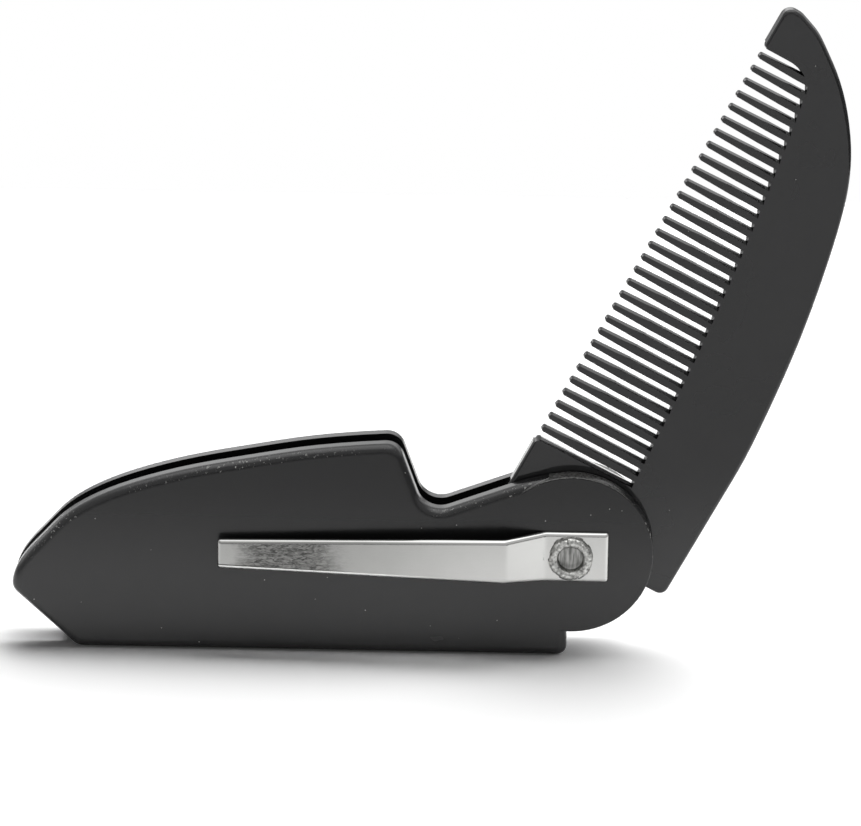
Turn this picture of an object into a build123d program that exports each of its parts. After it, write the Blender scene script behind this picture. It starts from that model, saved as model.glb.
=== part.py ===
from build123d import *
import os
from math import asin, atan2, cos, hypot, radians, sin

os.makedirs("parts", exist_ok=True)

# Frame: X runs along the handle towards the rivet, Y runs from the clip side to the back,
# Z points up. The origin is the middle of the bottom that the handle stands on.

# Handle
handle_length = 105.45
handle_height = 36.0
cheek_thickness = 3.1
slot_width = 3.7
floor_thickness = 2.2
round_end_radius = 13.4
round_end_above_base = 4.28
round_end_past_pivot = 0.15
round_end_over_pivot = 0.18
round_end_cover = 1.0
round_end_edge = 0.25
floor_end_behind_pivot = 0.35
edge_round = 1.45
floor_corner_round = 0.5
nose_round = 2.2
foot_round = 2.6
top_corner_round = 3.0
notch_round = 4.0
floor_end_round = 1.5

# The handle's outline as shares of its length from the nose and of its height from the base
nose_height_share = 0.275
top_line_shares = [
    (0.0034, 0.352),
    (0.0161, 0.422),
    (0.0512, 0.538),
    (0.0739, 0.608),
    (0.1375, 0.729),
    (0.2161, 0.815),
    (0.2938, 0.874),
    (0.3714, 0.918),
    (0.4490, 0.958),
    (0.5267, 0.985),
]
top_corner_shares = (0.6029, 1.0)
notch_corner_shares = (0.6455, 0.661)
ramp_end_shares = (0.7735, 0.799)
crown_shares = [
    (0.8201, 0.841),
    (0.8478, 0.855),
    (0.8810, 0.8486),
    (0.9189, 0.811),
    (0.9569, 0.728),
]
foot_share = 0.10059

# Comb, drawn straight out from the pivot: u runs along the blade, v towards the tooth tips
tip_past_nose = 3.65
comb_angle = 62.0
side_clearance = 0.3
back_above_base = 0.05
guard_to_floor = 0.98
stop_gap = 0.5
lug_inset = 1.1
comb_edge_round = 0.6
heel_corner_round = 1.5
tip_corner_round = 1.7
lug_shoulder_round_share = 0.6
lug_blend_round_share = 0.3

# The comb's back as shares of its reach and of the distance from the pivot to the back
back_line_shares = [
    (0.2529, -1.0),
    (0.352, -0.968),
    (0.4477, -0.912),
    (0.5405, -0.838),
    (0.6312, -0.742),
    (0.7188, -0.63),
    (0.7834, -0.518),
    (0.8274, -0.405),
    (0.8683, -0.261),
    (0.9061, -0.094),
    (0.9407, 0.102),
    (0.9678, 0.299),
    (0.9865, 0.46),
    (0.9957, 0.595),
    (1.0, 0.699),
]

# Teeth and the gaps between them
tooth_pitch = 2.36
heel_guard_room = 13.0
tooth_tip_width = 1.16
tooth_ridge_width = 0.62
tooth_widening_share = 0.059
tooth_widening_length = 7.0
tooth_recess = 0.06
first_tooth_from_tip = 9.05
shortest_gap_depth = 8.98
root_line_slope_share = 0.188
root_line_bow_share = 0.092
root_scoop_length = 3.5
root_scoop_depth = 0.5
thinning_slope_share = 0.014
guard_gap = 0.74
guard_web = 0.85
heel_guard_spare = 0.18
guard_corner_round = 1.0
tip_root_radius = 5.0
tip_root_arc_depth = 5.0

# Rivet
shank_diameter = 5.0
hole_clearance = 0.05
ring_overhang = 1.2
ring_height = 1.3
ring_crest_rise = 0.5
hollow_wall = 0.4
hollow_taper = 0.15
hollow_depth = 1.6
head_overhang = 1.8
head_rim = 0.35
head_height = 1.3

# Pocket clip
clip_sheet = 0.85
clip_end_room = 2.55
clip_step_room = 0.5
clip_side_room = 0.6
clip_step_length = 6.6
clip_step_height = 3.2
clip_step_width = 7.5
clip_arm_length = 47.0
clip_free_height = 1.4
clip_free_width = 5.0
clip_bend_round = 2.0
clip_corner_round = 0.5
clip_edge_round = 0.75

# How far cuts run past the surfaces
cut_overrun = 20.0
gap_overrun = 1.2
bevel_overrun = 0.05

half_handle = slot_width / 2 + cheek_thickness
end_z = round_end_radius + round_end_above_base
pivot_z = end_z - round_end_over_pivot
half_blade = slot_width / 2 - side_clearance
end_past_floor = floor_end_behind_pivot + round_end_past_pivot
floor_end_x = (handle_length * (1 - foot_share) - round_end_radius - end_past_floor) / 2
pivot_x = floor_end_x + floor_end_behind_pivot
end_x = floor_end_x + end_past_floor
nose_x = end_x + round_end_radius - handle_length
foot_x = nose_x + foot_share * handle_length
comb_back = pivot_z - back_above_base
guard_line = pivot_z - floor_thickness - guard_to_floor
tooth_tip_line = guard_line - tooth_recess
heel_edge = stop_gap - floor_end_behind_pivot
lug_radius = round_end_radius - lug_inset
lug_step = guard_line - lug_radius
comb_reach = handle_length - round_end_radius + tip_past_nose
first_tooth = comb_reach - first_tooth_from_tip
thinning_sections = 6
tooth_count = int((first_tooth - heel_guard_room) / tooth_pitch)
last_tooth = first_tooth - (tooth_count - 1) * tooth_pitch
tooth_bevel = (tooth_tip_width - tooth_ridge_width) / 2
hole_radius = shank_diameter / 2 + hole_clearance
ring_radius = shank_diameter / 2 + ring_overhang
clip_face = -half_handle - clip_sheet
eighth_turn = radians(45)


def handle_point(shares):
    """A point of the handle's outline from its shares of length and height."""
    return nose_x + shares[0] * handle_length, shares[1] * handle_height


def nearest_through_edge(solid, x, z):
    """The edge through the thickness that is closest to a point of the outline."""
    edges = solid.edges().filter_by(Axis.Y)
    return edges.sort_by(lambda e: hypot(e.center().X - x, e.center().Z - z))[0]


def rim_edges(solid):
    """The edges round both flat sides."""
    return solid.faces().filter_by(Axis.Y).edges()


def drilled(solid):
    """The solid with the rivet's hole through it."""
    bore = Cylinder(hole_radius, half_handle + cut_overrun)
    return solid - Pos(pivot_x, 0, pivot_z) * Rot(X=90) * bore


def handle_outline():
    """The side view of the cheeks and the floor, up to where the round end covers it."""
    nose = handle_point((0, nose_height_share))
    top_corner = handle_point(top_corner_shares)
    notch_corner = handle_point(notch_corner_shares)
    ramp_end = handle_point(ramp_end_shares)
    ramp = (ramp_end[0] - notch_corner[0], ramp_end[1] - notch_corner[1])
    covered = round_end_radius - round_end_cover
    right_end = (end_x + covered, end_z)
    step = (floor_end_x, end_z - (covered ** 2 - end_past_floor ** 2) ** 0.5)
    diagonal = covered * cos(eighth_turn)
    with BuildSketch(Plane.XZ) as side:
        with BuildLine():
            Spline(nose, *[handle_point(pair) for pair in top_line_shares], top_corner)
            Polyline(top_corner, notch_corner, ramp_end)
            Spline(ramp_end, *[handle_point(pair) for pair in crown_shares], right_end,
                   tangents=[ramp, (0, -1)])
            ThreePointArc(right_end, (end_x + diagonal, end_z - diagonal), step)
            Polyline(step, (floor_end_x, 0), (foot_x, 0), nose)
        make_face()
    return side.sketch


def handle():
    """The sheath: two cheeks on a floor, with soft borders that end at the crisp round end."""
    body = extrude(handle_outline(), half_handle, both=True)
    corners = [
        (*handle_point((0, nose_height_share)), nose_round),
        (foot_x, 0, foot_round),
        (*handle_point(top_corner_shares), top_corner_round),
        (*handle_point(notch_corner_shares), notch_round),
        (floor_end_x, 0, floor_end_round),
    ]
    for x, z, radius in corners:
        body = fillet(nearest_through_edge(body, x, z), radius)
    body = fillet(rim_edges(body), edge_round)
    round_end = Cylinder(round_end_radius, 2 * half_handle)
    round_end = fillet(round_end.edges().filter_by(GeomType.CIRCLE), round_end_edge)
    body += Pos(end_x, 0, end_z) * Rot(X=90) * round_end
    slot_height = handle_height + cut_overrun
    slot = Box(handle_length + cut_overrun, slot_width, slot_height)
    slot = fillet(slot.edges().filter_by(Axis.X).group_by(Axis.Z)[0], floor_corner_round)
    body -= Pos(nose_x + handle_length / 2, 0, floor_thickness + slot_height / 2) * slot
    return drilled(body)


def back_point(shares):
    """A point of the comb's back from its shares of reach and back distance."""
    return shares[0] * comb_reach, shares[1] * comb_back


def blade_outline():
    """The blade with its guards and lug, before the gaps are cut."""
    drop = (lug_radius ** 2 - heel_edge ** 2) ** 0.5
    back = [back_point(pair) for pair in back_line_shares]
    with BuildSketch(Plane.XZ) as side:
        with BuildLine():
            Polyline((heel_edge, -drop), (heel_edge, -comb_back), back[0])
            Spline(*back, tangents=[(1, 0), (0, 1)])
            Polyline(back[-1], (comb_reach, guard_line), (0, guard_line), (0, lug_radius))
            ThreePointArc((0, lug_radius), (-lug_radius, 0), (heel_edge, -drop))
        make_face()
    return side.sketch


def root_at(u):
    """How high on the blade the gaps end at this place along it."""
    back = first_tooth - u
    slope = root_line_slope_share - root_line_bow_share * back / comb_reach
    return tooth_tip_line - shortest_gap_depth - back * slope


def tooth_half_width(v):
    """Half the width of a tooth in the middle plane: it widens down to the knee, and then no more."""
    down = min(tooth_tip_line - v, tooth_widening_length)
    return (tooth_tip_width + down * tooth_widening_share) / 2


def tooth_side(side, centre, spread):
    """One side of a tooth, from its foot round its tip to its middle, and on out of the blade."""
    radius = tooth_tip_width / 2
    shoulder = tooth_tip_line - radius
    small = radius - spread
    diagonal = small * cos(eighth_turn)
    root_v = root_at(centre)
    knee_v = tooth_tip_line - tooth_widening_length
    wide = centre + side * (tooth_half_width(root_v) - spread)
    foot, knee = (wide, root_v - spread), (wide, knee_v)
    start = (centre + side * small, shoulder)
    middle = (centre + side * diagonal, shoulder + diagonal)
    top = (centre, shoulder + small)
    out = (centre, guard_line + gap_overrun)
    return foot, knee, start, middle, top, out


def guard_side(side, edge, spread):
    """The rounded corner of a guard, from outside the blade to the straight edge of the gap."""
    small = guard_corner_round - spread
    diagonal = small * cos(eighth_turn)
    centre_u = edge - side * guard_corner_round
    centre_v = guard_line - guard_corner_round
    out = (centre_u, guard_line + gap_overrun)
    top = (centre_u, centre_v + small)
    middle = (centre_u + side * diagonal, centre_v + diagonal)
    corner = (centre_u + side * small, centre_v)
    return out, top, middle, corner


def gap_between(low, high, spread):
    """The outline of the gap between two teeth whose middles are at low and high."""
    foot_a, knee_a, start_a, middle_a, top_a, out_a = tooth_side(1, low, spread)
    foot_b, knee_b, start_b, middle_b, top_b, out_b = tooth_side(-1, high, spread)
    with BuildLine() as outline:
        Polyline(foot_a, knee_a, start_a)
        ThreePointArc(start_a, middle_a, top_a)
        Polyline(top_a, out_a, out_b, top_b)
        ThreePointArc(top_b, middle_b, start_b)
        Polyline(start_b, knee_b, foot_b, foot_a)
    return outline.wire()


def heel_gap(spread):
    """The outline of the gap between the heel guard and the last tooth."""
    foot, knee, start, middle, top, out = tooth_side(-1, last_tooth, spread)
    guard_middle = last_tooth - tooth_pitch
    edge = guard_middle + tooth_tip_width / 2 + heel_guard_spare
    out_g, top_g, middle_g, corner_g = guard_side(1, edge, spread)
    root_v = root_at(guard_middle)
    foot_g = (guard_middle + tooth_half_width(root_v) + heel_guard_spare - spread, root_v - spread)
    with BuildLine() as outline:
        Polyline(foot, knee, start)
        ThreePointArc(start, middle, top)
        Polyline(top, out, out_g, top_g)
        ThreePointArc(top_g, middle_g, corner_g)
        Polyline(corner_g, foot_g, foot)
    return outline.wire()


def tip_gap(spread):
    """The outline of the gap beside the tip guard, whose root closes in an arc on the first tooth."""
    foot, knee, start, middle, top, out = tooth_side(1, first_tooth, spread)
    edge = first_tooth + tooth_tip_width / 2 + guard_gap
    out_g, top_g, middle_g, corner_g = guard_side(-1, edge, spread)
    arc_u = edge - tip_root_radius
    arc_v = tooth_tip_line - tip_root_arc_depth
    reach = tip_root_radius + spread
    drop = (reach ** 2 - (foot[0] - arc_u) ** 2) ** 0.5
    turn = atan2(drop, foot[0] - arc_u) / 2
    arc_middle = (arc_u + reach * cos(turn), arc_v - reach * sin(turn))
    arc_end = (foot[0], arc_v - drop)
    with BuildLine() as outline:
        Polyline(arc_end, knee, start)
        ThreePointArc(start, middle, top)
        Polyline(top, out, out_g, top_g)
        ThreePointArc(top_g, middle_g, corner_g)
        Line(corner_g, (arc_u + reach, arc_v))
        ThreePointArc((arc_u + reach, arc_v), arc_middle, arc_end)
    return outline.wire()


def bevelled(outline_at):
    """A gap as a solid: narrow in the middle plane and wider at both faces."""
    depth = half_blade + bevel_overrun
    spread = tooth_bevel * depth / half_blade
    levels = [(spread, -depth), (0, 0), (spread, depth)]
    sections = [Pos(0, y, 0) * Rot(X=90) * outline_at(wider) for wider, y in levels]
    return Solid.make_loft(sections, ruled=True)


def thinning(side):
    """What is taken off one face of the teeth and of the tip guard's edge: a scoop above the root
    line, then a slow taper."""
    low = last_tooth - tooth_pitch / 2
    high = first_tooth + tooth_tip_width / 2 + guard_gap + guard_web
    outside = side * (half_blade + gap_overrun)
    end_v = guard_line + gap_overrun
    sections = []
    for n in range(thinning_sections):
        u = low + (high - low) * n / (thinning_sections - 1)
        root_v = root_at(u)
        scoop_v = root_v + root_scoop_length
        scooped = half_blade - root_scoop_depth
        tapered = scooped - (end_v - scoop_v) * thinning_slope_share
        corners = [
            (u, side * half_blade, root_v),
            (u, side * scooped, scoop_v),
            (u, side * tapered, end_v),
            (u, outside, end_v),
            (u, outside, root_v),
        ]
        sections.append(Wire.make_polygon(corners, close=True))
    return Solid.make_loft(sections, ruled=True)


def comb():
    """The blade with its gaps cut, swung up to the angle at which it stands."""
    blade = extrude(blade_outline(), half_blade, both=True)
    corners = [
        (heel_edge, -comb_back, heel_corner_round),
        (comb_reach, guard_line, tip_corner_round),
        (0, guard_line, lug_step * lug_shoulder_round_share),
        (0, lug_radius, lug_step * lug_blend_round_share),
        (heel_edge, -lug_radius, lug_step * lug_blend_round_share),
    ]
    for u, v, radius in corners:
        blade = fillet(nearest_through_edge(blade, u, v), radius)
    blade = fillet(rim_edges(blade), comb_edge_round)
    blade -= thinning(1)
    blade -= thinning(-1)
    gaps = [bevelled(tip_gap), bevelled(heel_gap)]
    for n in range(tooth_count - 1):
        high = first_tooth - n * tooth_pitch
        low = high - tooth_pitch
        gaps.append(bevelled(lambda spread: gap_between(low, high, spread)))
    blade -= gaps
    return drilled(Pos(pivot_x, 0, pivot_z) * Rot(Y=-comb_angle) * blade)


def rivet():
    """A semi-tubular rivet: head at the back, rolled ring round the hollow at the front."""
    shank_radius = shank_diameter / 2
    hollow_radius = shank_radius - hollow_wall
    crest = clip_face - ring_height
    crest_radius = (hollow_radius + ring_radius) / 2
    shoulder = crest + ring_crest_rise
    floor = crest + hollow_depth
    head_radius = shank_radius + head_overhang
    rim = half_handle + head_rim
    dome_rise = head_height - head_rim
    dome_radius = (head_radius ** 2 + dome_rise ** 2) / (2 * dome_rise)
    half_angle = asin(head_radius / dome_radius) / 2
    dome_middle = (dome_radius * sin(half_angle),
                   half_handle + head_height - dome_radius * (1 - cos(half_angle)))
    with BuildSketch(Plane.XY) as section:
        with BuildLine():
            Polyline((0, floor), (hollow_radius - hollow_taper, floor), (hollow_radius, shoulder))
            ThreePointArc((hollow_radius, shoulder), (crest_radius, crest), (ring_radius, shoulder))
            Polyline((ring_radius, shoulder), (ring_radius, clip_face), (shank_radius, clip_face),
                     (shank_radius, half_handle), (head_radius, half_handle), (head_radius, rim))
            ThreePointArc((head_radius, rim), dome_middle, (0, half_handle + head_height))
            Line((0, half_handle + head_height), (0, floor))
        make_face()
    return Pos(pivot_x, 0, pivot_z) * revolve(section.sketch, Axis.Y)


def clip_stations():
    """Places along the clip, from its end by the rivet: x, height over the cheek, half width."""
    flat_half = ring_radius + clip_side_room
    right = pivot_x + ring_radius + clip_end_room
    step_start = pivot_x - ring_radius - clip_step_room
    step_end = step_start - clip_step_length
    free_end = step_end - clip_arm_length
    return [
        (right, 0, flat_half),
        (step_start, 0, flat_half),
        (step_end, clip_step_height, clip_step_width / 2),
        (free_end, clip_free_height, clip_free_width / 2),
    ]


def clip_strip():
    """The bent strip seen from above, of even thickness and full width."""
    inner = [(x, -half_handle - rise) for x, rise, half_width in clip_stations()]
    angles = [atan2(y0 - y1, x0 - x1) for (x0, y0), (x1, y1) in zip(inner, inner[1:])]
    before = [angles[0]] + angles
    after = angles + [angles[-1]]
    outer = []
    for (x, y), low, high in zip(inner, before, after):
        reach = clip_sheet / cos((high - low) / 2)
        slant = (low + high) / 2
        outer.append((x + reach * sin(slant), y - reach * cos(slant)))
    with BuildSketch(Plane.XY) as strip:
        with BuildLine():
            Polyline(*inner, *reversed(outer), inner[0])
        make_face()
    body = extrude(strip.sketch, ring_radius + clip_side_room, both=True)
    for x, y in inner[1:-1] + outer[1:-1]:
        bends = body.edges().filter_by(Axis.Z)
        bend = bends.sort_by(lambda e: hypot(e.center().X - x, e.center().Y - y))[0]
        body = fillet(bend, clip_bend_round)
    return body


def clip_plan():
    """A block with the clip's tapering face view, long enough to leave the strip's free end whole."""
    upper = [(x, half_width) for x, rise, half_width in clip_stations()]
    upper[0] = (upper[0][0] + cut_overrun, upper[0][1])
    (x0, z0), (x1, z1) = upper[-2:]
    upper[-1] = (x1 - cut_overrun, z1 - (z0 - z1) / (x0 - x1) * cut_overrun)
    lower = [(x, -z) for x, z in reversed(upper)]
    with BuildSketch(Plane.XZ) as plan:
        with BuildLine():
            Polyline(*upper, *lower, upper[0])
        make_face()
    return extrude(plan.sketch, half_handle + cut_overrun, both=True)


def pocket_clip():
    """The spring strip: flat under the rivet, stepped out, then sloping back to the cheek."""
    body = clip_strip() & clip_plan()
    straight = body.edges().filter_by(GeomType.LINE)
    through = [e for e in straight if e.length < clip_sheet + bevel_overrun]
    ends = ShapeList(through).sort_by(Axis.X)
    body = fillet(ends[:2] + ends[-2:], clip_corner_round)
    outward = [f for f in body.faces() if f.normal_at().Y < -cos(eighth_turn)]
    borders = [e for f in outward for e in f.edges()]
    rim = [e for e in borders if sum(e.is_same(other) for other in borders) == 1]
    return drilled(Pos(0, 0, pivot_z) * fillet(rim, clip_edge_round))


export_step(handle(), "parts/handle.step")
export_step(comb(), "parts/comb.step")
export_step(rivet(), "parts/rivet.step")
export_step(pocket_clip(), "parts/pocket_clip.step")
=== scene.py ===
from math import hypot, pi, radians

import bpy
import bmesh
from mathutils import Matrix, Vector


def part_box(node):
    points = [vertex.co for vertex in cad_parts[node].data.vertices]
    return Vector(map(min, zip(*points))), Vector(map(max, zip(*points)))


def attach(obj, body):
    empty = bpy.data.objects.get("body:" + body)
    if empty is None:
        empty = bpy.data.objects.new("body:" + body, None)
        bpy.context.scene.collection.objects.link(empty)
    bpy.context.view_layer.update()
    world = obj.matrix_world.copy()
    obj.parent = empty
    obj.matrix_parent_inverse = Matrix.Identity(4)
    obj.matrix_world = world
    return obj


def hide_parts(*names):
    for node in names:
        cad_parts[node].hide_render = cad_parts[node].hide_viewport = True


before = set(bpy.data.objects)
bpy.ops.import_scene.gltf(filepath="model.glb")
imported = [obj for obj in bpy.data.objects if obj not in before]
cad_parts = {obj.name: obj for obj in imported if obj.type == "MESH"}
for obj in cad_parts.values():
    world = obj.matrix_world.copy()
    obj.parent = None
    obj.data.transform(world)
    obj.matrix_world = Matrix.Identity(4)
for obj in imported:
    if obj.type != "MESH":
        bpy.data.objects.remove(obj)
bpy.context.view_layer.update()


# The sheath is one injection moulding in black ABS: two cheeks on a floor, open along the top.
# The mould leaves a satin face, and the rounded borders are scuffed by pockets and thumbs.

mm = 0.001
handle_black = "2a2a2b"
handle_black_worn = "343434"
# The next black is painted shade for the upper part of the cheeks
upper_painted_shade_black = "141415"
scuff_grey = "a9a9a6"
rubbed_grey = "7c7c7a"
dust_grey = "b5b5b2"

cloud_size = 14 * mm
scuff_patch_size = 9 * mm
nick_size = 0.45 * mm
rim_fleck_size = 0.5 * mm
grain_size = 0.3 * mm
grain_depth = 0.006 * mm
speck_spacing = 3.4 * mm
handle_speck_radius = 0.1 * mm

# Distances from the sheath's middle plane: its border's rounding, and just inside its flat face
rounding_start = 3.6 * mm
rounding_end = 4.8 * mm
near_face = 4.935 * mm

# The round end's worn rim, from the middle of that end
round_end_x = 40.97 * mm
round_end_z = 17.68 * mm
worn_rim_radius = 13.4 * mm
worn_rim_half_width = 0.12 * mm

# Settings that several nodes share
smooth = {"interpolation_type": "SMOOTHSTEP"}
blend = {"data_type": "RGBA"}
times = {"operation": "MULTIPLY"}


def linear(hex_colour):
    """An sRGB colour written as RRGGBB, as the linear colour that shader sockets take."""
    parts = [int(hex_colour[i:i + 2], 16) / 255 for i in (0, 2, 4)]
    return tuple(p / 12.92 if p <= 0.04045 else ((p + 0.055) / 1.055) ** 2.4 for p in parts) + (1.0,)


def add_node(tree, kind, settings=None, inputs=None):
    """Adds a node, sets its properties, and fills its inputs with values or links."""
    node = tree.nodes.new(kind)
    for name, value in (settings or {}).items():
        setattr(node, name, value)
    for key, value in (inputs or {}).items():
        if isinstance(value, bpy.types.NodeSocket):
            tree.links.new(value, node.inputs[key])
        else:
            node.inputs[key].default_value = value
    return node


# Satin ABS: nearly black, so that what the eye sees is mostly the pale floor in its soft gloss
satin_abs = bpy.data.materials.new("satin_moulded_abs")
satin_abs.use_nodes = True
tree = satin_abs.node_tree
shader = tree.nodes["Principled BSDF"]
shader.inputs["IOR"].default_value = 1.5
place = add_node(tree, "ShaderNodeTexCoord").outputs["Object"]
across = add_node(tree, "ShaderNodeSeparateXYZ", inputs={"Vector": place})
off_middle = add_node(tree, "ShaderNodeMath", {"operation": "ABSOLUTE"}, {0: across.outputs["Y"]})

# Faint clouding of the face, as handling leaves it
clouds = add_node(tree, "ShaderNodeTexNoise",
                  inputs={"Vector": place, "Scale": 1 / cloud_size, "Detail": 3.0})
tone = add_node(tree, "ShaderNodeMix", blend,
                {0: clouds.outputs["Fac"], 6: linear(handle_black), 7: linear(handle_black_worn)})

# Painted shade: the upper part is painted darker, standing in for the dimmer reflection it shows
painted_shade_upward = add_node(tree, "ShaderNodeMapRange", smooth,
                {"Value": across.outputs["Z"], "From Min": 12 * mm, "From Max": 30 * mm})
tone = add_node(tree, "ShaderNodeMix", blend,
                {0: painted_shade_upward.outputs[0], 6: tone.outputs[2], 7: linear(upper_painted_shade_black)})

# Scuffs where the cheek turns into its rounded border, in patches and on the upper part only
border = add_node(tree, "ShaderNodeMapRange", smooth,
                  {"Value": off_middle.outputs[0], "From Min": rounding_start, "From Max": rounding_end})
off_face = add_node(tree, "ShaderNodeMath", {"operation": "LESS_THAN"},
                    {0: off_middle.outputs[0], 1: near_face})
upper = add_node(tree, "ShaderNodeMapRange", smooth,
                 {"Value": across.outputs["Z"], "From Min": 12 * mm, "From Max": 22 * mm})
patches = add_node(tree, "ShaderNodeTexNoise",
                   inputs={"Vector": place, "Scale": 1 / scuff_patch_size, "Detail": 1.0})
patchy = add_node(tree, "ShaderNodeMapRange",
                  inputs={"Value": patches.outputs["Fac"], "From Min": 0.45, "From Max": 0.6})
nicks = add_node(tree, "ShaderNodeTexNoise",
                 inputs={"Vector": place, "Scale": 1 / nick_size, "Detail": 2.0})
nicked = add_node(tree, "ShaderNodeMapRange",
                  inputs={"Value": nicks.outputs["Fac"], "From Min": 0.6, "From Max": 0.68})
scuffed = border.outputs[0]
for share in (off_face, upper, patchy, nicked):
    scuffed = add_node(tree, "ShaderNodeMath", times, {0: scuffed, 1: share.outputs[0]}).outputs[0]
tone = add_node(tree, "ShaderNodeMix", blend, {0: scuffed, 6: tone.outputs[2], 7: linear(scuff_grey)})

# The upper rim of the round end is rubbed grey and flecked
from_middle = add_node(tree, "ShaderNodeMapping",
                       inputs={"Vector": place, "Location": (-round_end_x, 0, -round_end_z),
                               "Scale": (1, 0, 1)})
distance = add_node(tree, "ShaderNodeVectorMath", {"operation": "LENGTH"}, {0: from_middle.outputs[0]})
on_rim = add_node(tree, "ShaderNodeMath", {"operation": "COMPARE"},
                  {0: distance.outputs["Value"], 1: worn_rim_radius, 2: worn_rim_half_width})
top_of_end = add_node(tree, "ShaderNodeMapRange", smooth,
                      {"Value": across.outputs["Z"], "From Min": 26 * mm, "From Max": 30 * mm})
past_ramp = add_node(tree, "ShaderNodeMapRange", smooth,
                     {"Value": across.outputs["X"], "From Min": 29 * mm, "From Max": 37 * mm})
flecks = add_node(tree, "ShaderNodeTexNoise",
                  inputs={"Vector": place, "Scale": 1 / rim_fleck_size, "Detail": 2.0})
flecked = add_node(tree, "ShaderNodeMapRange",
                   inputs={"Value": flecks.outputs["Fac"], "From Min": 0.35, "From Max": 0.65,
                           "To Min": 0.35})
rubbed_and_painted_sheen = flecked.outputs[0]
for share in (on_rim, off_face, top_of_end, past_ramp):
    rubbed_and_painted_sheen = add_node(tree, "ShaderNodeMath", times, {0: rubbed_and_painted_sheen, 1: share.outputs[0]}).outputs[0]
tone = add_node(tree, "ShaderNodeMix", blend, {0: rubbed_and_painted_sheen, 6: tone.outputs[2], 7: linear(rubbed_grey)})

# Dust: one round speck in each cell of the pattern
specks = add_node(tree, "ShaderNodeTexVoronoi", inputs={"Vector": place, "Scale": 1 / speck_spacing})
dusty = add_node(tree, "ShaderNodeMath", {"operation": "LESS_THAN"},
                 {0: specks.outputs["Distance"], 1: handle_speck_radius / speck_spacing})
tone = add_node(tree, "ShaderNodeMix", blend,
                {0: dusty.outputs[0], 6: tone.outputs[2], 7: linear(dust_grey)})
tree.links.new(tone.outputs[2], shader.inputs["Base Color"])

# The gloss varies with the clouding, and the mould's fine grain breaks it up
gloss = add_node(tree, "ShaderNodeMapRange",
                 inputs={"Value": clouds.outputs["Fac"], "To Min": 0.2, "To Max": 0.3})
tree.links.new(gloss.outputs[0], shader.inputs["Roughness"])
grain = add_node(tree, "ShaderNodeTexNoise",
                 inputs={"Vector": place, "Scale": 1 / grain_size, "Detail": 2.0})
relief = add_node(tree, "ShaderNodeBump",
                  inputs={"Height": grain.outputs["Fac"], "Strength": 0.25, "Distance": grain_depth})
tree.links.new(relief.outputs["Normal"], shader.inputs["Normal"])

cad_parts["handle"].material_slots[0].material = satin_abs


# The comb is moulded in black polystyrene and left as glossy as the mould's polish made it.
# It is a separate blade that swings on the rivet between the two cheeks.

comb_black = "1e1e1f"
comb_black_smeared = "272728"
smear_size = 10 * mm
wave_length = 12 * mm
wave_depth = 0.03 * mm
comb_speck_radius = 0.07 * mm

# Gloss polystyrene: a mirror-like skin over black, with the slow waves of a thin moulding
gloss_styrene = bpy.data.materials.new("gloss_moulded_polystyrene")
gloss_styrene.use_nodes = True
tree = gloss_styrene.node_tree
shader = tree.nodes["Principled BSDF"]
shader.inputs["IOR"].default_value = 1.55
place = add_node(tree, "ShaderNodeTexCoord").outputs["Object"]
smears = add_node(tree, "ShaderNodeTexNoise",
                  inputs={"Vector": place, "Scale": 1 / smear_size, "Detail": 3.0})
tone = add_node(tree, "ShaderNodeMix", blend,
                {0: smears.outputs["Fac"], 6: linear(comb_black), 7: linear(comb_black_smeared)})
specks = add_node(tree, "ShaderNodeTexVoronoi", inputs={"Vector": place, "Scale": 1 / speck_spacing})
dusty = add_node(tree, "ShaderNodeMath", {"operation": "LESS_THAN"},
                 {0: specks.outputs["Distance"], 1: comb_speck_radius / speck_spacing})
tone = add_node(tree, "ShaderNodeMix", blend,
                {0: dusty.outputs[0], 6: tone.outputs[2], 7: linear(dust_grey)})
tree.links.new(tone.outputs[2], shader.inputs["Base Color"])
gloss = add_node(tree, "ShaderNodeMapRange",
                 inputs={"Value": smears.outputs["Fac"], "To Min": 0.04, "To Max": 0.1})
tree.links.new(gloss.outputs[0], shader.inputs["Roughness"])
waves = add_node(tree, "ShaderNodeTexNoise",
                 inputs={"Vector": place, "Scale": 1 / wave_length, "Detail": 1.0})
relief = add_node(tree, "ShaderNodeBump",
                  inputs={"Height": waves.outputs["Fac"], "Strength": 0.5, "Distance": wave_depth})
tree.links.new(relief.outputs["Normal"], shader.inputs["Normal"])

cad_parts["comb"].material_slots[0].material = gloss_styrene


# The pocket clip is a strip of spring steel, blanked, bent and nickel plated.
# A patch near its free end has lost its shine and is flecked; its grey is partly wear and partly painted
# reflection.

plate_bright = "c8c8c6"
plate_tarnished = "a3a3a1"
plate_worn_and_painted_dark = "8c8c8a"
# The next grey is a painted bright reflection for the arm's lower border
plate_painted_sheen = "f6f6f4"
# The next grey is painted dark reflection, on the patch's flecks and on a line
plate_painted_dark = "4c4c4b"

# The arm tapers from its bend to its free end, about a level middle line
free_end_x = -17 * mm
bend_x = 30 * mm
free_half_width = 2.5 * mm
bend_half_width = 3.75 * mm
middle_line_z = 17.5 * mm

veil_size = 3 * mm
ragged_reach = 6 * mm
dull_fleck_size = 0.75 * mm
dull_fleck_depth = 0.01 * mm
fleck_turn = radians(25)
# The painted dark line lies this far above the arm's lower edge, and is this wide
dark_line_from_border = 0.78 * mm
dark_line_half_width = 0.09 * mm

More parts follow.
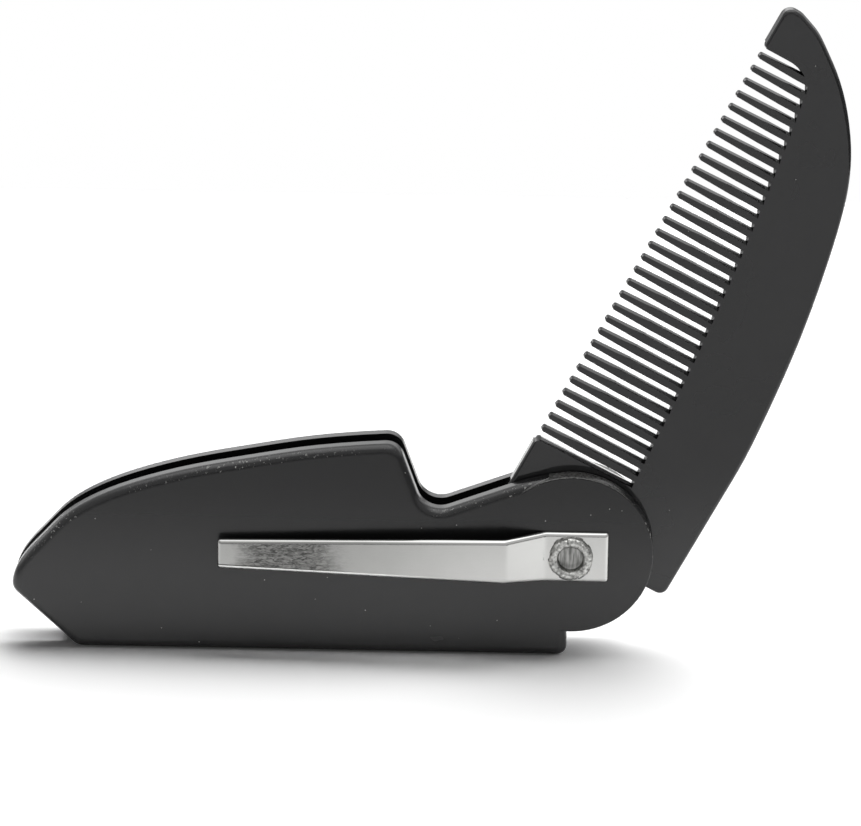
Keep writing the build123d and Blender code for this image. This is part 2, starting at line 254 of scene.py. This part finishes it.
# Nickel plate on spring steel: bright and nearly smooth, so that it shows the pale floor.
# A faint tarnish deepens towards the free end.
nickel_plate = bpy.data.materials.new("nickel_plated_spring_steel")
nickel_plate.use_nodes = True
tree = nickel_plate.node_tree
shader = tree.nodes["Principled BSDF"]
shader.inputs["Metallic"].default_value = 1.0
place = add_node(tree, "ShaderNodeTexCoord").outputs["Object"]
along = add_node(tree, "ShaderNodeSeparateXYZ", inputs={"Vector": place})
veil = add_node(tree, "ShaderNodeTexNoise",
                inputs={"Vector": place, "Scale": 1 / veil_size, "Detail": 3.0})
toward_end = add_node(tree, "ShaderNodeMapRange", smooth,
                      {"Value": along.outputs["X"], "From Min": 34 * mm, "From Max": 0})
veiled = add_node(tree, "ShaderNodeMath", {"operation": "MULTIPLY_ADD"},
                  {0: veil.outputs["Fac"], 1: 0.2, 2: toward_end.outputs[0]})
bright = add_node(tree, "ShaderNodeMix", blend,
                  {0: veiled.outputs[0], 6: linear(plate_bright), 7: linear(plate_tarnished)})

# The dulled and painted-dark patch begins and ends raggedly: the veil shifts its ends by up to 6 mm
ragged = add_node(tree, "ShaderNodeMath", {"operation": "MULTIPLY_ADD"},
                  {0: veil.outputs["Fac"], 1: ragged_reach, 2: along.outputs["X"]})
from_end = add_node(tree, "ShaderNodeMapRange", smooth,
                    {"Value": ragged.outputs[0], "From Min": -12.5 * mm, "From Max": -7 * mm})
to_bend = add_node(tree, "ShaderNodeMapRange", smooth,
                   {"Value": ragged.outputs[0], "From Min": 0, "From Max": 9.5 * mm,
                    "To Min": 1.0, "To Max": 0.0})
dulled_and_painted_dark = add_node(tree, "ShaderNodeMath", times, {0: from_end.outputs[0], 1: to_bend.outputs[0]})

# It spares the rounded borders, which pockets keep polished
half_width = add_node(tree, "ShaderNodeMapRange",
                      inputs={"Value": along.outputs["X"], "From Min": free_end_x, "From Max": bend_x,
                              "To Min": free_half_width, "To Max": bend_half_width})
height = add_node(tree, "ShaderNodeMath", {"operation": "SUBTRACT"},
                  {0: along.outputs["Z"], 1: middle_line_z})
off_line = add_node(tree, "ShaderNodeMath", {"operation": "ABSOLUTE"}, {0: height.outputs[0]})
from_border = add_node(tree, "ShaderNodeMath", {"operation": "SUBTRACT"},
                       {0: half_width.outputs[0], 1: off_line.outputs[0]})
on_face = add_node(tree, "ShaderNodeMapRange", smooth,
                   {"Value": from_border.outputs[0], "From Min": 0.45 * mm, "From Max": 0.75 * mm})
dulled_and_painted_dark = add_node(tree, "ShaderNodeMath", times, {0: dulled_and_painted_dark.outputs[0], 1: on_face.outputs[0]})

# Its flecks are drawn out along the strip and lean a little
turned = add_node(tree, "ShaderNodeMapping",
                  inputs={"Vector": place, "Rotation": (0, fleck_turn, 0), "Scale": (0.7, 1, 2.4)})
flecks = add_node(tree, "ShaderNodeTexNoise",
                  inputs={"Vector": turned.outputs[0], "Scale": 1 / dull_fleck_size,
                          "Detail": 4.0, "Distortion": 1.2})
flecked = add_node(tree, "ShaderNodeMapRange",
                   inputs={"Value": flecks.outputs["Fac"], "From Min": 0.38, "From Max": 0.62})
# Painted reflection: the patch's grey and dark flecks are worn plate, painted darker for a dark
# reflection
dull_and_painted_dark_tone = add_node(tree, "ShaderNodeMix", blend,
                {0: flecked.outputs[0], 6: linear(plate_painted_dark), 7: linear(plate_worn_and_painted_dark)})
tone = add_node(tree, "ShaderNodeMix", blend,
                {0: dulled_and_painted_dark.outputs[0], 6: bright.outputs[2], 7: dull_and_painted_dark_tone.outputs[2]})

# The arm's lower border is painted bright, a painted reflection, below a painted dark line that stands
# for a dark reflection
from_lower = add_node(tree, "ShaderNodeMath", {"operation": "ADD"},
                      {0: half_width.outputs[0], 1: height.outputs[0]})
on_arm = add_node(tree, "ShaderNodeMapRange", smooth,
                  {"Value": along.outputs["X"], "From Min": 6 * mm, "From Max": 26 * mm,
                   "To Min": 1.0, "To Max": 0.0})
sheen_border = add_node(tree, "ShaderNodeMapRange", smooth,
               {"Value": from_lower.outputs[0], "From Min": 0.6 * mm, "From Max": 0.72 * mm,
                "To Min": 1.0, "To Max": 0.0})
rubbed_and_painted_sheen = add_node(tree, "ShaderNodeMath", times, {0: sheen_border.outputs[0], 1: on_arm.outputs[0]})
# Painted highlight: the lower border is painted a brighter grey
tone = add_node(tree, "ShaderNodeMix", blend,
                {0: rubbed_and_painted_sheen.outputs[0], 6: tone.outputs[2], 7: linear(plate_painted_sheen)})
dark_line_band = add_node(tree, "ShaderNodeMath", {"operation": "COMPARE"},
                  {0: from_lower.outputs[0], 1: dark_line_from_border, 2: dark_line_half_width})
dark_line_fade = add_node(tree, "ShaderNodeMapRange",
                 inputs={"Value": ragged.outputs[0], "From Min": -12 * mm, "From Max": 12 * mm,
                         "To Min": 1.0, "To Max": 0.0})
painted_dark_line = add_node(tree, "ShaderNodeMath", times, {0: dark_line_band.outputs[0], 1: dark_line_fade.outputs[0]})
# Painted reflection: a dark line is painted along the lower border
tone = add_node(tree, "ShaderNodeMix", blend,
                {0: painted_dark_line.outputs[0], 6: tone.outputs[2], 7: linear(plate_painted_dark)})
tree.links.new(tone.outputs[2], shader.inputs["Base Color"])
gloss = add_node(tree, "ShaderNodeMapRange",
                 inputs={"Value": dulled_and_painted_dark.outputs[0], "To Min": 0.1, "To Max": 0.36})
tree.links.new(gloss.outputs[0], shader.inputs["Roughness"])
relief = add_node(tree, "ShaderNodeBump",
                  inputs={"Height": flecks.outputs["Fac"], "Strength": 0.3, "Distance": dull_fleck_depth})
tree.links.new(relief.outputs["Normal"], shader.inputs["Normal"])

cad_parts["pocket_clip"].material_slots[0].material = nickel_plate


# The rivet is a semi-tubular steel rivet. Its hollow end was rolled over the clip by a setting punch,
# which split the rim into petals, and its factory head lies on the back cheek.

nickel_dark = "7e7e7c"
nickel_pale = "dadad7"
# The next grey is painted shade for the hollow
hollow_painted_shade = "3c3c3b"
clip_sheet = 0.85 * mm
shank_radius = 2.5 * mm
head_radius = 4.28 * mm
lump = 0.05 * mm
mottle_size = 0.5 * mm
drawn_line_size = 0.35 * mm
crazing_depth = 0.03 * mm

rivet_low, rivet_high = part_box("rivet")
pivot_x = (rivet_low.x + rivet_high.x) / 2
pivot_z = (rivet_low.z + rivet_high.z) / 2
handle_low, handle_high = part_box("handle")
cheek_back = handle_high.y
crest = rivet_low.y
clip_face = handle_low.y - clip_sheet
petals = 12
columns_in_petal = 12
columns = petals * columns_in_petal

# Rings from the back head to the floor of the hollow: distance along Y and radius
rivet_rings = [
    (cheek_back + 1.28 * mm, 0.8 * mm),
    (cheek_back + 1.15 * mm, 2.0 * mm),
    (cheek_back + 0.86 * mm, 3.2 * mm),
    (cheek_back + 0.5 * mm, 4.05 * mm),
    (cheek_back + 0.32 * mm, 4.26 * mm),
    (cheek_back + 0.15 * mm, 4.3 * mm),
    (cheek_back, head_radius),
    (cheek_back, shank_radius),
    (clip_face, shank_radius),
    (clip_face - 0.02 * mm, 3.55 * mm),
    (clip_face - 0.25 * mm, 3.7 * mm),
    (crest + 0.55 * mm, 3.66 * mm),
    (crest + 0.22 * mm, 3.45 * mm),
    (crest + 0.04 * mm, 3.1 * mm),
    (crest, 2.75 * mm),
    (crest + 0.08 * mm, 2.4 * mm),
    (crest + 0.3 * mm, 2.18 * mm),
    (crest + 0.6 * mm, 2.1 * mm),
    (crest + 1.45 * mm, 2.0 * mm),
    (crest + 1.58 * mm, 1.85 * mm),
    (crest + 1.6 * mm, 1.0 * mm),
]
bpy.ops.object.select_all(action="DESELECT")
top_y, top_radius = rivet_rings[0]
bpy.ops.mesh.primitive_circle_add(vertices=columns, radius=top_radius, fill_type="NGON",
                                  location=(pivot_x, top_y, pivot_z), rotation=(-pi / 2, 0, 0))
rivet = bpy.context.active_object
rivet.name = "crimped_rivet"
bpy.ops.object.transform_apply(location=True, rotation=True, scale=True)
bpy.ops.object.mode_set(mode="EDIT")
bpy.ops.mesh.select_all(action="SELECT")
for (y0, r0), (y1, r1) in zip(rivet_rings, rivet_rings[1:]):
    bpy.ops.mesh.extrude_region_move(TRANSFORM_OT_translate={"value": (0, y1 - y0, 0)})
    bpy.ops.transform.resize(value=(r1 / r0, 1, r1 / r0), center_override=(pivot_x, y1, pivot_z))


def select_ring_points(mesh, chosen):
    """Selects the points of the rolled ring for which chosen(column, radius, y) is true."""
    for point in mesh.verts:
        dx, dz = point.co.x - pivot_x, point.co.z - pivot_z
        radius = hypot(dx, dz)
        turn = Vector((dx, dz)).angle_signed(Vector((1, 0)), 0.0) % (2 * pi)
        column = round(turn / (2 * pi) * columns) % columns
        in_front_of_clip = point.co.y < clip_face + 0.001 * mm
        point.select_set(in_front_of_clip and chosen(column, radius, point.co.y))
    mesh.select_flush_mode()
    bmesh.update_edit_mesh(rivet.data)


# The petals differ in width and reach, and the cracks between them close towards the hollow
shape = bmesh.from_edit_mesh(rivet.data)
ring_middle = (pivot_x, clip_face, pivot_z)
petal_from = 3.2 * mm
crack_from = 3.3 * mm
crack_reach = 0.95
crack_shift = [0, 3, -2, 4, 1, -3, 2, 5, -1, 3, -4, 1]
petal_reach = [0.99, 0.95, 1.0, 0.965, 0.985, 0.945, 0.995, 0.955, 0.99, 0.96, 1.0, 0.97]
cracks = [n * columns_in_petal + crack_shift[n] for n in range(petals)]
for n in range(petals):
    first, last = cracks[n], cracks[(n + 1) % petals] + (columns if n == petals - 1 else 0)
    inside = {c % columns for c in range(first + 1, last)}
    select_ring_points(shape, lambda column, radius, y: column in inside and radius > petal_from)
    reach = petal_reach[n]
    bpy.ops.transform.resize(value=(reach, 1, reach), center_override=ring_middle)
for n, crack in enumerate(cracks):
    here = crack % columns
    select_ring_points(shape, lambda column, radius, y: column == here and radius > crack_from)
    bpy.ops.transform.resize(value=(crack_reach, 1, crack_reach), center_override=ring_middle)
    opens_at = (2.7 + 0.2 * (n % 3)) * mm
    sinks_by = (0.05 + 0.04 * (n % 4)) * mm
    select_ring_points(shape, lambda column, radius, y: column == here
                       and opens_at < radius and y < clip_face - 0.4 * mm)
    bpy.ops.transform.translate(value=(0, sinks_by, 0))

# The punch leaves the rolled metal slightly lumpy
select_ring_points(shape, lambda column, radius, y: radius > 2.3 * mm and y < clip_face - 0.1 * mm)
bpy.ops.transform.vertex_random(offset=lump, seed=4)
bpy.ops.mesh.select_all(action="SELECT")
bpy.ops.mesh.normals_make_consistent(inside=False)
bpy.ops.object.mode_set(mode="OBJECT")
bpy.ops.object.shade_smooth_by_angle(angle=radians(42))

# Dull nickel on mild steel, crazed by the punch: mottled grey, with drawing lines in the hollow
dull_nickel = bpy.data.materials.new("dull_nickel_plated_steel")
dull_nickel.use_nodes = True
tree = dull_nickel.node_tree
shader = tree.nodes["Principled BSDF"]
shader.inputs["Metallic"].default_value = 1.0
shader.inputs["Roughness"].default_value = 0.34
place = add_node(tree, "ShaderNodeTexCoord").outputs["Object"]
mottle = add_node(tree, "ShaderNodeTexNoise",
                  inputs={"Vector": place, "Scale": 1 / mottle_size, "Detail": 4.0})
mottled = add_node(tree, "ShaderNodeMapRange",
                   inputs={"Value": mottle.outputs["Fac"], "From Min": 0.35, "From Max": 0.65})
drawn = add_node(tree, "ShaderNodeMapping", inputs={"Vector": place, "Scale": (1, 1, 0.12)})
lines = add_node(tree, "ShaderNodeTexNoise",
                 inputs={"Vector": drawn.outputs[0], "Scale": 1 / drawn_line_size, "Detail": 2.0})
lined = add_node(tree, "ShaderNodeMapRange",
                 inputs={"Value": lines.outputs["Fac"], "From Min": 0.35, "From Max": 0.65})
depth = add_node(tree, "ShaderNodeSeparateXYZ", inputs={"Vector": place})
in_hollow = add_node(tree, "ShaderNodeMath", {"operation": "COMPARE"},
                     {0: depth.outputs["Y"], 1: crest + 1.5 * mm, 2: 0.8 * mm})
pattern = add_node(tree, "ShaderNodeMix", {"data_type": "FLOAT"},
                   {0: in_hollow.outputs[0], 2: mottled.outputs[0], 3: lined.outputs[0]})
tone = add_node(tree, "ShaderNodeMix", blend,
                {0: pattern.outputs[0], 6: linear(nickel_dark), 7: linear(nickel_pale)})

# Painted shade: the hollow is painted darker
hollow_shade_share = add_node(tree, "ShaderNodeMath", times, {0: in_hollow.outputs[0], 1: 0.44})
tone = add_node(tree, "ShaderNodeMix", blend,
                {0: hollow_shade_share.outputs[0], 6: tone.outputs[2], 7: linear(hollow_painted_shade)})
tree.links.new(tone.outputs[2], shader.inputs["Base Color"])
relief = add_node(tree, "ShaderNodeBump",
                  inputs={"Height": pattern.outputs[0], "Strength": 0.35, "Distance": crazing_depth})
tree.links.new(relief.outputs["Normal"], shader.inputs["Normal"])

rivet.data.materials.append(dull_nickel)
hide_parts("rivet")
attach(rivet, "sheath")


# The floor is a pale board, long towards the front and narrow. To the camera it is white wherever
# nothing shades it. In the gloss of the pieces its colour is painted brighter near them, a painted pool
# of light, and darker towards its front.

floor_front = -1.8
floor_back = 0.3
floor_side = 0.35
near_floor = -20 * mm
far_floor = -110 * mm
white_to_camera = 1.08
near_in_gloss = 1.14
far_in_gloss = 0.62
to_soft_light = 0.86

bpy.ops.object.select_all(action="DESELECT")
bpy.ops.mesh.primitive_plane_add(size=2, location=(0, (floor_front + floor_back) / 2, 0))
floor = bpy.context.active_object
floor.name = "floor"
floor.scale = (floor_side, (floor_back - floor_front) / 2, 1)
bpy.ops.object.transform_apply(location=True, rotation=True, scale=True)
pale_board = bpy.data.materials.new("pale_board")
pale_board.use_nodes = True
tree = pale_board.node_tree
tree.nodes.clear()
rays = add_node(tree, "ShaderNodeLightPath")
place = add_node(tree, "ShaderNodeTexCoord").outputs["Object"]
away = add_node(tree, "ShaderNodeSeparateXYZ", inputs={"Vector": place})
# Painted light and shade in the gloss: brighter near the pieces, dimmer far in front
dimmed = add_node(tree, "ShaderNodeMapRange", smooth,
                  {"Value": away.outputs["Y"], "From Min": near_floor, "From Max": far_floor,
                   "To Min": near_in_gloss, "To Max": far_in_gloss})
in_gloss = add_node(tree, "ShaderNodeMix", {"data_type": "FLOAT"},
                    {0: rays.outputs["Is Glossy Ray"], 2: to_soft_light, 3: dimmed.outputs[0]})
shade = add_node(tree, "ShaderNodeMix", {"data_type": "FLOAT"},
                 {0: rays.outputs["Is Camera Ray"], 2: in_gloss.outputs[0], 3: white_to_camera})
board = add_node(tree, "ShaderNodeBsdfDiffuse", inputs={"Color": shade.outputs[0]})
add_node(tree, "ShaderNodeOutputMaterial", inputs={"Surface": board.outputs[0]})
floor.data.materials.append(pale_board)


# The light is one soft dome: a lamp overhead, a little behind and to the right, a pale wall behind,
# and a dim room in front. What the gloss shows of it is set apart from what casts the soft shadow.

dome_strength = 10.0

world = bpy.data.worlds.new("soft_dome")
bpy.context.scene.world = world
world.use_nodes = True
tree = world.node_tree
tree.nodes.clear()
rays = add_node(tree, "ShaderNodeLightPath")
sky = add_node(tree, "ShaderNodeTexCoord").outputs["Generated"]
direction = add_node(tree, "ShaderNodeSeparateXYZ", inputs={"Vector": sky})


def grey(light):
    """A light of the dome as a grey, which the dome's strength brings back to its full value."""
    return (light / dome_strength, light / dome_strength, light / dome_strength, 1)


def heights(stops):
    """The dome's light by height: each stop is a height, 0 level to 1 overhead, and its light."""
    ramp = add_node(tree, "ShaderNodeValToRGB", inputs={"Fac": direction.outputs["Z"]})
    while len(ramp.color_ramp.elements) < len(stops):
        ramp.color_ramp.elements.new(0.5)
    for element, (height, light) in zip(ramp.color_ramp.elements, stops):
        element.position = height
        element.color = grey(light)
    return ramp.outputs["Color"]


# What the gloss shows: the dim room, and the wall, which is brighter to the left
room_in_gloss = heights([(0.0, 0.15), (0.06, 0.25), (0.24, 0.65), (0.8, 0.75), (0.92, 2.2)])
wall_in_gloss = heights([(0.0, 0.3), (0.12, 0.5), (0.2, 1.6), (0.4, 1.6), (0.55, 0.8), (0.8, 0.9),
                         (0.92, 2.4)])
leftwards = add_node(tree, "ShaderNodeMapRange",
                     inputs={"Value": direction.outputs["X"], "From Min": -0.2, "From Max": 0.0,
                             "To Min": 1.14, "To Max": 0.8})
wall = add_node(tree, "ShaderNodeVectorMath", {"operation": "SCALE"},
                {0: wall_in_gloss, "Scale": leftwards.outputs[0]})
behind = add_node(tree, "ShaderNodeMapRange", smooth,
                  {"Value": direction.outputs["Y"], "From Min": -0.2, "From Max": 0.2})
in_gloss = add_node(tree, "ShaderNodeMix", blend,
                    {0: behind.outputs[0], 6: room_in_gloss, 7: wall.outputs[0]})

# What lights the floor and the matt surfaces: nearly all of it comes from behind and from the right
room_light = heights([(0.0, 0.5), (0.24, 0.3), (0.4, 0.08), (1.0, 0.08)])
lamp_light = heights([(0.0, 0.3), (0.4, 1.05), (0.7, 1.6), (0.85, 2.4), (0.95, 5.5)])
rightwards = add_node(tree, "ShaderNodeMapRange",
                      inputs={"Value": direction.outputs["X"], "From Min": -0.25, "From Max": 0.25,
                              "To Min": 0.0, "To Max": 2.0})
lamp = add_node(tree, "ShaderNodeVectorMath", {"operation": "SCALE"},
                {0: lamp_light, "Scale": rightwards.outputs[0]})
past_zenith = add_node(tree, "ShaderNodeMapRange", smooth,
                       {"Value": direction.outputs["Y"], "From Min": -0.08, "From Max": 0.08})
soft = add_node(tree, "ShaderNodeMix", blend,
                {0: past_zenith.outputs[0], 6: room_light, 7: lamp.outputs[0]})

# The camera sees a white backdrop
dome = add_node(tree, "ShaderNodeMix", blend,
                {0: rays.outputs["Is Glossy Ray"], 6: soft.outputs[2], 7: in_gloss.outputs[2]})
seen = add_node(tree, "ShaderNodeMix", blend,
                {0: rays.outputs["Is Camera Ray"], 6: dome.outputs[2], 7: grey(1.0)})
background = add_node(tree, "ShaderNodeBackground",
                      inputs={"Color": seen.outputs[2], "Strength": dome_strength})
add_node(tree, "ShaderNodeOutputWorld", inputs={"Surface": background.outputs[0]})
bpy.context.scene.view_settings.view_transform = "Standard"


# The camera stands in front of the clip side, a little to the right of the middle of the sheath,
# and looks 17.4 degrees down at the comb.

camera_data = bpy.data.cameras.new("camera")
camera_data.lens = 167.56
camera_data.sensor_width = 36.0
camera_data.clip_start = 0.05
camera = bpy.data.objects.new("camera", camera_data)
bpy.context.scene.collection.objects.link(camera)
camera_place = Vector((31.92, -624.34, 236.18)) * mm
right = Vector((0.99961, 0.02612, 0.00982))
up = Vector((-0.01719, 0.29921, 0.95403))
towards = Vector((-0.02198, 0.95383, -0.29954))
turn = Matrix((right, up, -towards)).transposed().to_4x4()
camera.matrix_world = Matrix.Translation(camera_place) @ turn
bpy.context.scene.camera = camera
